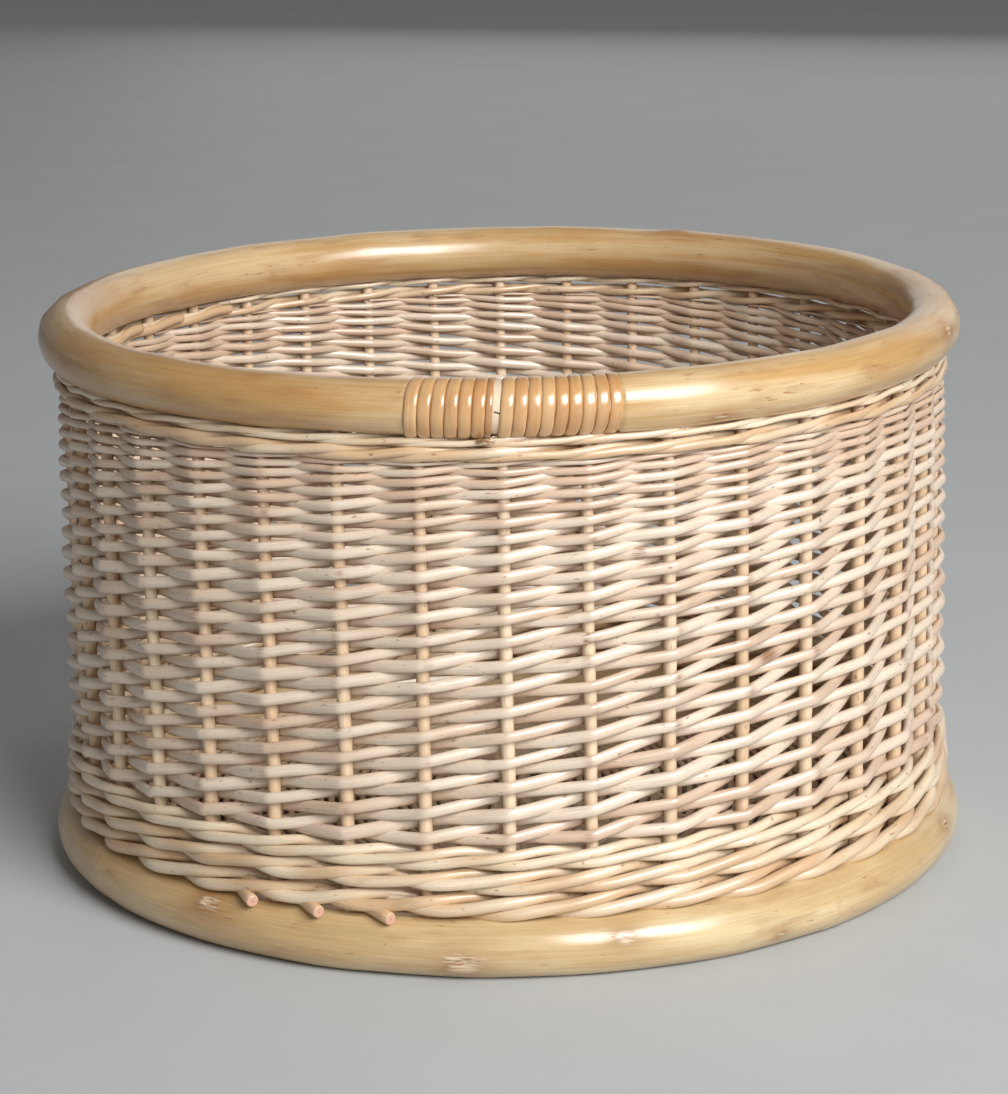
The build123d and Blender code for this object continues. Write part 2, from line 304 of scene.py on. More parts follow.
base_stick_willow = wood_material(
    "base_stick_willow",
    willow_grain,
    {
        "Pale": (0.72, 0.56, 0.36, 1),
        "Tan": (0.56, 0.38, 0.22, 1),
        "Bruise": (0.28, 0.14, 0.07, 1),
        "Cut": (0.66, 0.44, 0.32, 1),
        "Specks": 0.6,
    },
    0.12 * mm,
    0.2,
    0.25,
)
stick_low, stick_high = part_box("base_stick_threaded_1")
stick_height = (stick_low.z + stick_high.z) / 2
stick_radius = (stick_high.z - stick_low.z) / 2
stick_gap = 0.5 * mm
stick_pitch = 2 * stick_radius + stick_gap
stick_bend = 12 * mm
arm_pitch_deg = 20
base_weave_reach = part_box("base_weave")[1].x
stick_in_hoop = 7.8 * mm
stick_reach = base_weave_reach + stick_in_hoop
slit_reach = 2.2 * stick_pitch + 4 * mm
slit_fade = 6 * mm
stick_sets = (("base_stick_threaded", 4, 5, 0.0), ("base_stick_pierced", 5, 95, 0.6))
for set_name, set_size, turn_deg, swelling in stick_sets:
    for number in range(set_size):
        place = number - (set_size - 1) / 2
        arm_deg = abs(place) * arm_pitch_deg
        half_length = stick_reach * math.cos(math.radians(arm_deg))
        x = np.linspace(-half_length, half_length, 170)
        lane = abs(place) * stick_pitch
        slope = math.tan(math.radians(arm_deg))
        bent = np.maximum(np.abs(x) * slope, lane)
        soft = stick_bend * math.sin(math.radians(arm_deg)) / 3 + 1e-6
        bent = np.where(place == 0, 0, soft * np.logaddexp(np.abs(x) * slope / soft, lane / soft))
        y = math.copysign(1, place) * bent
        turn = math.radians(turn_deg)
        line = np.stack([x * math.cos(turn) - y * math.sin(turn),
                         x * math.sin(turn) + y * math.cos(turn),
                         np.full(len(x), stick_height)], axis=-1)
        line[:, 2] += wander(x, 0.12 * mm, 150 * mm)
        pierced_part = ease((slit_reach - np.abs(x)) / slit_fade) * (swelling > 0)
        opened = np.stack([1 + 0.06 * pierced_part, 1 + swelling * pierced_part], axis=-1)
        outline = round_section(14)[None] * opened[:, None]
        thick = stick_radius * (0.99 - 0.03 * np.abs(x) / stick_reach)
        shape = rod_shape(line, thick, section=outline, tint=draw.uniform(0.2, 0.9))
        stick = wood_piece(f"{set_name}_rod_{number + 1}", shape)
        finish_piece(stick, base_stick_willow, "stake_willow", f"{set_name}_{number + 1}")

# Base weave: pairs of thin willow rods laid in a spiral from the middle out. At each arm one rod
# of the pair goes over it and the other under it, and they change places before the next arm.


def around(angle_deg, radius, height):
    """Points at these radii and heights, at angles counted from the front towards +X."""
    angle, radius, height = np.broadcast_arrays(np.radians(angle_deg), radius, height)
    return np.stack([radius * np.sin(angle), -radius * np.cos(angle), height], axis=-1)


base_weave_willow = wood_material(
    "base_weave_willow",
    willow_grain,
    {
        "Pale": (0.72, 0.58, 0.4, 1),
        "Tan": (0.54, 0.37, 0.24, 1),
        "Bruise": (0.26, 0.13, 0.07, 1),
        "Cut": (0.66, 0.44, 0.32, 1),
        "Specks": 0.7,
    },
    0.12 * mm,
    0.2,
    0.25,
)
base_rod_radius = 1.75 * mm
base_row_pitch = 5.3 * mm
base_weave_start = 33 * mm
arm_count = 18
first_arm_deg = 15
base_rounds = int((base_weave_reach - base_weave_start) / base_row_pitch)
rounds_in_rod = 4
for first_round in range(0, base_rounds, rounds_in_rod):
    last_round = min(first_round + rounds_in_rod, base_rounds)
    for strand in range(2):
        step_count = (last_round - first_round) * arm_count * 8
        turns = np.linspace(first_round, last_round, step_count)
        arm_phase = np.pi * (turns * arm_count + strand)
        over = np.cos(arm_phase)
        radius = base_weave_start + base_row_pitch * turns + 0.32 * base_rod_radius * np.sin(arm_phase)
        lift = (stick_radius + base_rod_radius) * np.arcsin(0.96 * over) / math.asin(0.96)
        lift += wander(turns, 0.12 * mm, 0.13)
        line = around(first_arm_deg + 360 * turns, radius, stick_height + lift)
        shape = rod_shape(line, base_rod_radius, section=round_section(8), tint=draw.uniform(0, 1))
        rod = wood_piece(f"base_weave_rod_{first_round // rounds_in_rod + 1}{'ab'[strand]}", shape)
        finish_piece(rod, base_weave_willow, "woven_willow", "base_weave")

# Base hoop: one thick rattan cane, steamed and bent round, which the basket stands on. Its ends
# meet in a long slanted joint at the back, pinned, and its skin keeps growth rings and bud scars.
base_low, base_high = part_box("base_hoop")

cane_skin, given, result = group_start(
    "cane_skin",
    {
        "Honey": ("NodeSocketColor", (0.6, 0.4, 0.15, 1)),
        "Straw": ("NodeSocketColor", (0.7, 0.55, 0.3, 1)),
        "Amber": ("NodeSocketColor", (0.4, 0.2, 0.06, 1)),
        "Fibre": ("NodeSocketColor", (0.8, 0.65, 0.5, 1)),
        "Cut": ("NodeSocketColor", (0.7, 0.5, 0.3, 1)),
        "Joint Height": ("NodeSocketFloat", 0.0),
        "Joint Slope": ("NodeSocketFloat", 0.0),
        "Joint Side": ("NodeSocketFloat", 1.0),
        "Joint Middle": ("NodeSocketFloat", 0.0),
        "Joint Half": ("NodeSocketFloat", 0.042),
    },
    {"Colour": "NodeSocketColor", "Roughness": "NodeSocketFloat", "Height": "NodeSocketFloat"},
)
lay = node(cane_skin, "Attribute", {"attribute_name": "lay"}).outputs["Vector"]
mark = node(cane_skin, "Attribute", {"attribute_name": "mark"}).outputs["Vector"]
lap = node(cane_skin, "Attribute", {"attribute_name": "lap"}).outputs["Fac"]
tint, scuff, cut = node(cane_skin, "SeparateXYZ", None, Vector=mark).outputs
cloud = grain_noise(cane_skin, lay, 42, 9, 3.0, lap)
band = grain_noise(cane_skin, lay, 260, 7, 3.0, lap)
streak = grain_noise(cane_skin, lay, 1500, 26, 3.0, lap)
dash = grain_noise(cane_skin, lay, 900, 130, 1.0, lap)
pore = grain_noise(cane_skin, lay, 2600, 420, 1.0, lap)
patch = grain_noise(cane_skin, lay, 150, 34, 4.0, lap)
paleness = maths(cane_skin, "MULTIPLY_ADD", band, 0.6, cloud)
straw_share = ramp(cane_skin, paleness, 0.68, 0.94)
colour = blend(cane_skin, straw_share, given["Honey"], given["Straw"])
# The tint mark turns the skin towards amber. On the hoops it carries painted shade on the cane's underside
# and on the hoop's left side, away from the light, besides the darker halos round bud scars.
amber_share = maths(cane_skin, "MULTIPLY_ADD", ramp(cane_skin, patch, 0.5, 0.75), 0.45, tint, clamp=True)
amber_share = maths(cane_skin, "MULTIPLY", amber_share, maths(cane_skin, "MULTIPLY_ADD", band, 0.8, 0.35))
colour = blend(cane_skin, amber_share, colour, given["Amber"])
shade = maths(cane_skin, "MULTIPLY_ADD", streak, 0.5, 0.75)
colour = node(cane_skin, "VectorMath", {"operation": "SCALE"}, _0=colour, Scale=shade).outputs[0]
in_patch = ramp(cane_skin, patch, 0.42, 0.6)
dash_mask = maths(cane_skin, "MULTIPLY", ramp(cane_skin, dash, 0.68, 0.74), in_patch)
pore_mask = maths(cane_skin, "MULTIPLY", ramp(cane_skin, pore, 0.7, 0.78), 0.5)
dark_mask = maths(cane_skin, "MAXIMUM", dash_mask, pore_mask)
colour = blend(cane_skin, maths(cane_skin, "MULTIPLY", dark_mask, 0.75), colour, given["Amber"])
scuff_edge = maths(cane_skin, "ADD", scuff, maths(cane_skin, "MULTIPLY_ADD", streak, 1.2, -0.75))
scuff_mask = ramp(cane_skin, scuff_edge, 0.25, 0.7)
fibre = blend(cane_skin, ramp(cane_skin, dash, 0.35, 0.6), given["Amber"], given["Fibre"])
colour = blend(cane_skin, maths(cane_skin, "MULTIPLY", scuff_mask, 0.85), colour, fibre)
raw_wood = blend(cane_skin, ramp(cane_skin, streak, 0.3, 0.7), given["Fibre"], given["Cut"])
colour = blend(cane_skin, cut, colour, raw_wood)
place = node(cane_skin, "TexCoord").outputs["Object"]
x, y, z = node(cane_skin, "SeparateXYZ", None, Vector=place).outputs
joint_height = maths(cane_skin, "MULTIPLY_ADD", x, given["Joint Slope"], given["Joint Height"])
joint_height = maths(cane_skin, "MULTIPLY_ADD", cloud, 0.8 * mm, joint_height)
off_joint = maths(cane_skin, "ABSOLUTE", maths(cane_skin, "SUBTRACT", z, joint_height))
near_joint = ramp(cane_skin, off_joint, 0.45 * mm, 0.25 * mm)
off_middle = maths(cane_skin, "ABSOLUTE", maths(cane_skin, "SUBTRACT", x, given["Joint Middle"]))
joint_length = ramp(cane_skin, maths(cane_skin, "SUBTRACT", off_middle, given["Joint Half"]), 0.3 * mm, 0)
joint_side = ramp(cane_skin, maths(cane_skin, "MULTIPLY", y, given["Joint Side"]), 0, 10 * mm)
joint = maths(cane_skin, "MULTIPLY", maths(cane_skin, "MULTIPLY", near_joint, joint_length), joint_side)
colour = blend(cane_skin, joint, colour, (0.05, 0.025, 0.01, 1))
cane_skin.links.new(colour, result["Colour"])
roughness = maths(cane_skin, "MULTIPLY_ADD", band, 0.2, 0.2)
roughness = maths(cane_skin, "MULTIPLY_ADD", scuff_mask, 0.3, roughness)
roughness = maths(cane_skin, "MULTIPLY_ADD", cut, 0.3, roughness)
cane_skin.links.new(roughness, result["Roughness"])
height = maths(cane_skin, "MULTIPLY", streak, 0.4)
height = maths(cane_skin, "ADD", height, maths(cane_skin, "MULTIPLY", band, 0.6))
height = maths(cane_skin, "MULTIPLY_ADD", dark_mask, -0.5, height)
height = maths(cane_skin, "MULTIPLY_ADD", scuff_mask, maths(cane_skin, "MULTIPLY", dash, 2.0), height)
height = maths(cane_skin, "MULTIPLY_ADD", joint, -3.0, height)
cane_skin.links.new(height, result["Height"])


def cane_hoop(name, ring_radius, ring_height, cane_radius, rings, scars, sway, tones_and_side_shade, flat=None, bare=None):
    """A bent cane hoop with growth rings and bud scars.

    cane_radius gives the cane's radius at angles in degrees. A ring is (angle, height of its
    swelling), and a scar is (angle, angle round the cane from the outside upwards, size). Sway is
    how far the hoop is out of round and out of level, and the tones are how dark it is from the
    back round to the back: the cane's own tone, with painted shade on the left side, away from the
    light, and painted light on the lit front-right. The cane's underside is also painted darker,
    as shade. Flat is the height below which it is worn away, and bare says where it is shaved to
    raw wood.
    """
    ring_width, groove_width, worn_width, ring_slant = 5.5 * mm, 1.1 * mm, 3.2 * mm, 1.4 * mm
    lobes = ((1, 0.16 * mm, 90 * mm), (2, 0.14 * mm, 60 * mm), (3, 0.07 * mm, 35 * mm))
    steps, sides = 1080, 56
    angle = np.linspace(-180, 180, steps, endpoint=False)
    turn = 2 * np.pi * np.arange(sides) / sides
    thick = cane_radius(angle)[:, None] * np.ones(sides)
    distance = np.radians(angle) * ring_radius
    length = 2 * np.pi * ring_radius
    scuff = np.zeros((steps, sides))
    halo = np.zeros((steps, sides))
    for ring_deg, swelling in rings:
        off = (distance - math.radians(ring_deg) * ring_radius + length / 2) % length - length / 2
        slant = off[:, None] - ring_slant * np.cos(turn - ring_deg)[None]
        thick += swelling * np.exp(-(slant / ring_width) ** 2)
        thick -= 0.8 * swelling * np.exp(-(slant / groove_width) ** 2)
        scuff = np.maximum(scuff, 0.45 * np.exp(-(slant / worn_width) ** 2))
    for scar_deg, scar_turn, size in scars:
        off = (distance - math.radians(scar_deg) * ring_radius + length / 2) % length - length / 2
        across = (turn - math.radians(scar_turn) + np.pi) % (2 * np.pi) - np.pi
        across = across[None] * cane_radius(angle)[:, None]
        spread = (off[:, None] / (1.5 * size)) ** 2 + (across / size) ** 2
        thick += 0.16 * size * np.exp(-1.3 * spread) - 0.17 * size * np.exp(-9 * spread)
        scuff = np.maximum(scuff, 0.95 * np.exp(-1.1 * spread))
        halo += 0.8 * np.exp(-0.35 * spread)
    for lobe, size, wave in lobes:
        laps = max(1, round(length / wave))
        phase = draw.uniform(0, 2 * np.pi, 2)
        swell = np.sin(laps * np.radians(angle)[:, None] + phase[0])
        thick += size * swell * np.cos(lobe * turn + phase[1])
    middle_r = ring_radius + sway[0] * np.sin(3 * np.radians(angle) + 0.7)
    middle_z = ring_height + sway[1] * np.sin(2 * np.radians(angle) + 1.9)
    radius = middle_r[:, None] + thick * np.cos(turn)
    height = middle_z[:, None] + thick * np.sin(turn)
    if flat is not None:
        height = np.maximum(height, flat)
    points = around(angle[:, None], radius, height)
    lay = np.stack([thick * np.cos(turn), thick * np.sin(turn), points[..., 0]], axis=-1)
    # Painted shade and light: the tones darken the hoop's left side, away from the light, and lighten its
    # lit front-right.
    tone = np.interp(angle, np.linspace(-180, 180, len(tones_and_side_shade)), tones_and_side_shade)[:, None]
    # Painted shade: the underside of the cane is given a darker tone in its colour.
    underside = 0.3 * np.clip(-np.sin(turn), 0, 1) ** 2
    cut = np.zeros(thick.shape) if bare is None else bare(angle)[:, None] * np.ones(sides)
    mark = np.stack([tone + underside + halo, scuff, cut], axis=-1)
    ring = np.arange(steps * sides).reshape(steps, sides)
    along = np.roll(ring, -1, axis=0)
    after, both = np.roll(ring, -1, axis=1), np.roll(along, -1, axis=1)
    quads = np.stack([ring, along, both, after], axis=-1).reshape(-1, 4)
    lap = points[..., 1].ravel()
    return wood_piece(name, (points.reshape(-1, 3), quads, np.empty((0, 3), int), lay.reshape(-1, 3),
                             mark.reshape(-1, 3), lap))


scarf_length = 84 * mm
base_cane_radius = (base_high.z - base_low.z + 0.3 * mm) / 2
base_ring_radius = base_high.x - base_cane_radius
base_ring_height = base_high.z - base_cane_radius
base_cane = wood_material(
    "base_hoop_cane",
    cane_skin,
    {
        "Honey": (0.59, 0.41, 0.2, 1),
        "Straw": (0.71, 0.56, 0.32, 1),
        "Amber": (0.34, 0.16, 0.05, 1),
        "Fibre": (0.74, 0.59, 0.41, 1),
        "Cut": (0.7, 0.5, 0.3, 1),
        "Joint Height": base_ring_height,
        "Joint Slope": 2 * base_cane_radius / scarf_length,
        "Joint Side": 1.0,
        "Joint Half": scarf_length / 2,
    },
    0.25 * mm,
    0.5,
    0.25,
)
base_hoop = cane_hoop(
    "base_hoop_cane",
    base_ring_radius,
    base_ring_height,
    lambda angle: base_cane_radius + 0.25 * mm * np.sin(np.radians(2 * angle + 40)),
    rings=((-118, 0.5 * mm), (-62, 0.35 * mm), (42, 0.4 * mm), (104, 0.5 * mm), (152, 0.4 * mm)),
    scars=(
        (-38.3, 42, 5.5 * mm), (-5.4, -14, 7.5 * mm), (13, 24, 4.5 * mm), (33, -20, 2.5 * mm),
        (71, 30, 4 * mm), (128, 10, 5 * mm), (-150, 25, 5 * mm), (-92, 5, 4 * mm), (175, -5, 3 * mm),
    ),
    sway=(0.5 * mm, 0.1 * mm),
    # Tones: darker on the left as painted shade, paler at the lit front-right as painted light.
    tones_and_side_shade=(0.28, 0.2, 0.42, 0.3, 0.12, 0.1, 0.2, 0.3, 0.28),
    flat=0.0,
)
finish_piece(base_hoop, base_cane, "hoop_cane", "base_hoop")

# Stakes: 36 straight peeled willow rods, stood in holes in the base hoop. They taper a little
# upwards, keep small bud scars, and end in holes in the rim hoop.
stake_count = 36
stake_pitch_deg = 360 / stake_count
stake_low, stake_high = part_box("stake_01")
stake_radius = (stake_high.x - stake_low.x) / 2
stake_circle = -(stake_low.y + stake_high.y) / 2
stake_thick = 1.09 * stake_radius
bud_height = 0.22 * mm
bud_width = 0.012
stake_willow = wood_material(
    "stake_willow",
    willow_grain,
    {
        "Pale": (0.82, 0.66, 0.47, 1),
        "Tan": (0.68, 0.48, 0.3, 1),
        "Bruise": (0.3, 0.15, 0.08, 1),
        "Cut": (0.66, 0.44, 0.32, 1),
        "Specks": 0.7,
    },
    0.12 * mm,
    0.25,
    0.2,
)
for number in range(stake_count):
    height = np.linspace(stake_low.z, stake_high.z, 96)
    share = (height - stake_low.z) / (stake_high.z - stake_low.z)
    thick = stake_thick * draw.uniform(0.97, 1.04) * (1.08 - 0.17 * share)
    thick += wander(height, 0.05 * mm, 60 * mm)
    for bud in draw.uniform(0, 1, 4):
        thick += bud_height * np.exp(-((share - bud) / bud_width) ** 2)
    angle = number * stake_pitch_deg + wander(height, 0.06, 180 * mm)
    line = around(angle, stake_circle + wander(height, 0.15 * mm, 150 * mm), height)
    shape = rod_shape(line, thick, upright=(1, 0.001, 0), tint=draw.uniform(0.2, 0.9))
    stake = wood_piece(f"stake_rod_{number + 1:02d}", shape)
    finish_piece(stake, stake_willow, "stake_willow", f"stake_{number + 1:02d}")

# Bottom wale: three thick willow rods worked together, each in front of two stakes and behind one,
# for three rounds up from the hoop. Each starts with its cut butt end standing out at the front.
wale_willow = wood_material(
    "wale_willow",
    willow_grain,
    {
        "Pale": (0.78, 0.64, 0.46, 1),
        "Tan": (0.63, 0.42, 0.24, 1),
        "Bruise": (0.3, 0.14, 0.06, 1),
        "Cut": (0.62, 0.35, 0.25, 1),
        "Specks": 0.8,
    },
    0.14 * mm,
    0.8,
    0.33,
)


def through_knots(phase, knots):
    """A smooth repeating course through knots that stand half a step apart."""
    knots = np.asarray(knots, float)
    spot = (phase % (len(knots) / 2)) * 2
    start = np.floor(spot).astype(int)
    share = spot - start
    a, b, c, d = (knots[(start + shift) % len(knots)] for shift in (-1, 0, 1, 2))
    return b + 0.5 * share * (c - a + share * (2 * a - 5 * b + 4 * c - d + share * (3 * (b - c) + d - a)))


wale_reach = (1.0, 1.04, 1.0, 0.05, -1.0, -0.05)
wale_lift = (0.0, 0.45, 0.95, 1.15, 0.5, -0.1)
wale_bottom = base_high.z - 0.5 * mm
bottom_rows = wale_bottom + np.array([0, 11.8, 23.3]) * mm
bottom_thick = np.array([5.9, 5.5, 4.7]) * mm
butt_ends = (-31.6, -22.7, -13.9)
butt_reach = 11.4 * mm
butt_height = base_high.z + 1.3 * mm
stub_reach = 3 * mm
stub_height = base_high.z + 3.1 * mm
stub_length = 0.33
stub_fade = 0.35
first_gap = -3.5
row_change = 2.4
for number, butt_deg in enumerate(butt_ends):
    gap = first_gap + number
    stake_at = np.linspace(butt_deg / stake_pitch_deg, gap - 3 * stake_count - 0.2, 3 * stake_count * 12)
    phase = stake_at - (gap - 2.5)
    row = sum(ease((gap - stake_count * rounds - stake_at) / row_change + 0.5) for rounds in (1, 2))
    thick = np.interp(row, (0, 1, 2), bottom_thick) * draw.uniform(0.98, 1.03)
    distance = np.radians(stake_at * stake_pitch_deg) * stake_circle
    thick = thick + wander(distance, 0.12 * mm, 300 * mm)
    reach = through_knots(phase, wale_reach) * (stake_thick + thick / 2)
    lift = np.interp(row, (0, 1, 2), bottom_rows) + thick * (0.5 + through_knots(phase, wale_lift))
    lift += wander(distance, 0.3 * mm, 110 * mm)
    past_butt = stake_at[0] - stake_at
    stub = np.clip(1 - past_butt / stub_length, 0, 1)
    out = ease(1 + (stub_length - past_butt) / stub_fade)
    reach = reach * (1 - out) + out * (stub_reach + (butt_reach - stub_reach) * stub)
    lift = lift * (1 - out) + out * (stub_height + (butt_height - stub_height) * stub)
    line = around(stake_at * stake_pitch_deg, stake_circle + reach, lift)
    tone = 0.65 - 0.25 * row + wander(distance, 0.35, 140 * mm) + 0.8 * out
    rod = wood_piece(f"bottom_wale_rod_{number + 1}", rod_shape(line, thick / 2, tint=tone))
    finish_piece(rod, wale_willow, "woven_willow", "bottom_wale")

# Wall: 36 tapered willow rods, one started at each stake and all worked upwards together, in front
# of one stake and behind the next. Thick butts lie at the bottom and thin tips under the top wale.
woven_willow = wood_material(
    "woven_willow",
    willow_grain,
    {
        "Pale": (0.74, 0.61, 0.475, 1),
        "Tan": (0.62, 0.44, 0.31, 1),
        "Bruise": (0.3, 0.15, 0.08, 1),
        "Cut": (0.72, 0.42, 0.32, 1),
        "Specks": 0.7,
    },
    0.12 * mm,
    0.85,
    0.33,
)
first_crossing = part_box("wall_rand")[0].z + 3 * mm
row_pitch = 11.9 * mm
row_closing = 0.00811 * mm
rand_butt = 5.8 * mm
rand_tip = 3.1 * mm
rand_stakes = 38
rand_lead_in = 1.3
rand_run_out = 1.0
kink = 0.995
join_length = 0.03
bruise_length = 0.05
wall_joins = {31: 5.75, 22: 15.95, 15: 23.62, 8: 27.4, 35: 12.1}
wall_stains = {28: (12.32, 0.13), 9: (20.6, 0.1), 2: (9.7, 0.08), 17: (29.1, 0.12), 33: (22.4, 0.09)}
for number in range(stake_count):
    even = np.linspace(-rand_lead_in, rand_stakes + rand_run_out, (rand_stakes + 2) * 14)
    step = even - 0.1 * np.sin(2 * np.pi * even)
    share = np.clip(step / rand_stakes, 0, 1)
    tip = ease((step - rand_stakes + 0.8) / 1.6)
    distance = np.radians(step * stake_pitch_deg) * stake_circle
    thick = (rand_butt - (rand_butt - rand_tip) * share**2.6) * draw.uniform(0.9, 1.11)
    thick = (thick + wander(distance, 0.08 * mm, 200 * mm)) * (1 - 0.6 * tip)
    rise = row_pitch * step / 2 - row_closing * (step / 2) ** 3
    rise = np.where(step < 0, 2.2 * mm * step, rise)
    flat = 0.86 - 0.16 * np.cos(np.pi * step) ** 2
    reach = (stake_thick + 0.35 * thick) * np.arcsin(kink * np.cos(np.pi * step)) / math.asin(kink)
    height = first_crossing + rise + wander(distance, 0.45 * mm, 130 * mm) * (step > 0)
    angle = (number + step) * stake_pitch_deg
    line = around(angle, stake_circle + reach + wander(distance, 0.15 * mm, 70 * mm), height)
    own_tint = draw.uniform(-0.15, 0.75)
    tone = own_tint + 0.5 * ease((step - 26) / 10) + 0.35 * ease((4 - step) / 5)
    tone += wander(distance, 0.2, 110 * mm)
    scuff = np.zeros(len(step))
    for crossing in range(0, rand_stakes, 2):
        bruise = draw.uniform(-1.2, 0.9)
        bruise_at = crossing + draw.uniform(-0.05, 0.08)
        scuff += bruise * np.exp(-((step - bruise_at) / bruise_length) ** 2)
    section = round_section(12) * np.stack([flat, np.ones(len(step))], axis=-1)[:, None]
    if number + 1 in wall_joins:
        past_join = step - wall_joins[number + 1]
        thick = thick * (1.16 - 0.26 * ease(past_join / join_length + 0.5))
        scuff += 1.5 * np.exp(-((past_join / join_length) ** 2))
    if number + 1 in wall_stains:
        stain_step, stain_size = wall_stains[number + 1]
        scuff += 1.6 * np.exp(-(((step - stain_step) / stain_size) ** 2))
    shape = rod_shape(line, thick / 2, section=section, tint=tone, scuff=np.clip(scuff, 0, 1.5))
    rod = wood_piece(f"wall_rod_{number + 1:02d}", shape)
    finish_piece(rod, woven_willow, "woven_willow", "wall_rand")

# Top wale: thin willow rods worked three together for two rounds, beaten tight under the rim hoop.
# Their thick ends start on the inside, and the second round climbs over the first.
top_wale_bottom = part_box("top_wale")[0].z + 1.2 * mm
top_butt = 4.7 * mm
top_tip = 2.4 * mm
top_flatness = 0.85
top_start_stake = 22.4
top_rounds = 2
top_stakes = top_rounds * stake_count
top_climb = 6.6 * mm
for number in range(3):
    first_stake = top_start_stake + number
    stake_at = np.linspace(first_stake, first_stake + top_stakes - 0.5, top_stakes * 14)
    progress = (stake_at - first_stake) / top_stakes
    phase = stake_at - number
    inside = ease((first_stake + 0.8 - stake_at) / 0.5)
    distance = np.radians(stake_at * stake_pitch_deg) * stake_circle
    thick = (top_butt + (top_tip - top_butt) * progress**0.8) * (1 + wander(distance, 0.06, 230 * mm))
    reach = (through_knots(phase, wale_reach) * (1 - inside) - inside) * (stake_thick + 0.42 * thick)
    climb = top_climb * ease((progress - 0.46) / 0.1)
    lift = top_wale_bottom + climb + thick * (0.5 + 0.55 * through_knots(phase, wale_lift))
    lift += wander(distance, 0.4 * mm, 80 * mm)
    line = around(stake_at * stake_pitch_deg, stake_circle + reach, lift)
    tone = 1.0 - progress + wander(distance, 0.3, 120 * mm)
    section = round_section(12) * (top_flatness, 1.0)
    rod = wood_piece(f"top_wale_rod_{number + 1}", rod_shape(line, thick / 2, section=section, tint=tone))
    finish_piece(rod, wale_willow, "woven_willow", "top_wale")

# Rim hoop: a second bent rattan cane, set down on the stakes' tops. Its ends meet in a slanted
# joint at the front, where the cane is shaved thinner to take the binding.
rim_low, rim_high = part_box("rim_hoop")
rim_cane_radius = (rim_high.z - rim_low.z) / 2
rim_ring_radius = rim_high.x - rim_cane_radius
rim_ring_height = (rim_high.z + rim_low.z) / 2
binding_thick = 1.4 * mm
bound_cane_radius = rim_cane_radius - binding_thick
bound_start_deg, bound_end_deg = -11.1, 13.7
bare_inset_deg = 0.3
rim_cane = wood_material(
    "rim_hoop_cane",
    cane_skin,
    {
        "Honey": (0.56, 0.34, 0.13, 1),
        "Straw": (0.72, 0.54, 0.3, 1),
        "Amber": (0.34, 0.14, 0.04, 1),
        "Fibre": (0.74, 0.6, 0.42, 1),
        "Cut": (0.76, 0.6, 0.42, 1),
        "Joint Height": rim_ring_height - 0.9 * mm,
        "Joint Slope": -0.3,
        "Joint Side": -1.0,
        "Joint Middle": -1.7 * mm,
        "Joint Half": 1.5 * mm,
    },
    0.25 * mm,
    0.5,
    0.25,
)


def rim_thickness(angle):
    """The rim cane's radius: thin under the binding, and a natural taper round the rest."""
    places = (-180, -90, -40, -12, 14, 60, 100, 180)
    course = np.interp(angle, places, (13.5, 13.5, 12.6, 12.1, 13.2, 13.0, 12.7, 13.5))
    bound = ease((angle - bound_start_deg) / 0.4) * ease((bound_end_deg - angle) / 0.4)
    return course * mm * (1 - bound) + bound_cane_radius * bound


def rim_bare(angle):
    """Where the rim cane is shaved to raw wood, which shows in the gap of the binding."""
    from_start = angle - bound_start_deg - bare_inset_deg
    from_end = bound_end_deg - bare_inset_deg - angle
    return ease(from_start / 0.3) * ease(from_end / 0.3)


rim_hoop = cane_hoop(
    "rim_hoop_cane",
    rim_ring_radius,
    rim_ring_height,
    rim_thickness,
    rings=((-97, 0.3 * mm), (84, 0.3 * mm), (172, 0.2 * mm)),
    scars=(
        (25.6, -38, 3.0 * mm), (71, 22, 4.0 * mm), (-88, 32, 3.0 * mm), (94, 50, 3.5 * mm),
        (141, 60, 5 * mm), (153, 80, 5 * mm), (-100, 40, 4 * mm), (-158, 20, 4 * mm), (112, 0, 4 * mm),
    ),
    sway=(0.4 * mm, 0.25 * mm),
    # Tones: darker on the left as painted shade, paler at the lit front-right as painted light.
    tones_and_side_shade=(0.3, 0.35, 0.5, 0.42, 0.2, 0.16, 0.3, 0.4, 0.3),
    bare=rim_bare,
)
finish_piece(rim_hoop, rim_cane, "hoop_cane", "rim_hoop")

# Pins: plain headless steel wire nails, two through each hoop's slanted joint, driven in until the
# cane closes over them.
pin_steel = bpy.data.materials.new("pin_steel")
pin_steel.use_nodes = True
pin_tree = pin_steel.node_tree
pin_surface = pin_tree.nodes["Principled BSDF"]
pin_place = node(pin_tree, "TexCoord").outputs["Object"]
pin_draw_marks = node(pin_tree, "TexNoise", None, Vector=pin_place, Scale=900.0, Detail=3.0).outputs[0]
pin_patches = node(pin_tree, "TexNoise", None, Vector=pin_place, Scale=260.0).outputs[0]
pin_rust = ramp(pin_tree, pin_patches, 0.5, 0.7)
pin_colour = blend(pin_tree, pin_rust, (0.42, 0.42, 0.43, 1), (0.22, 0.11, 0.06, 1))
pin_roughness = maths(pin_tree, "MULTIPLY_ADD", pin_draw_marks, 0.3, 0.3)
pin_tree.links.new(pin_colour, pin_surface.inputs["Base Color"])
pin_tree.links.new(pin_roughness, pin_surface.inputs["Roughness"])
pin_surface.inputs["Metallic"].default_value = 0.9
for pins in ("rim_scarf_pins", "base_scarf_pins"):
    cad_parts[pins].data.materials.clear()
    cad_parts[pins].data.materials.append(pin_steel)

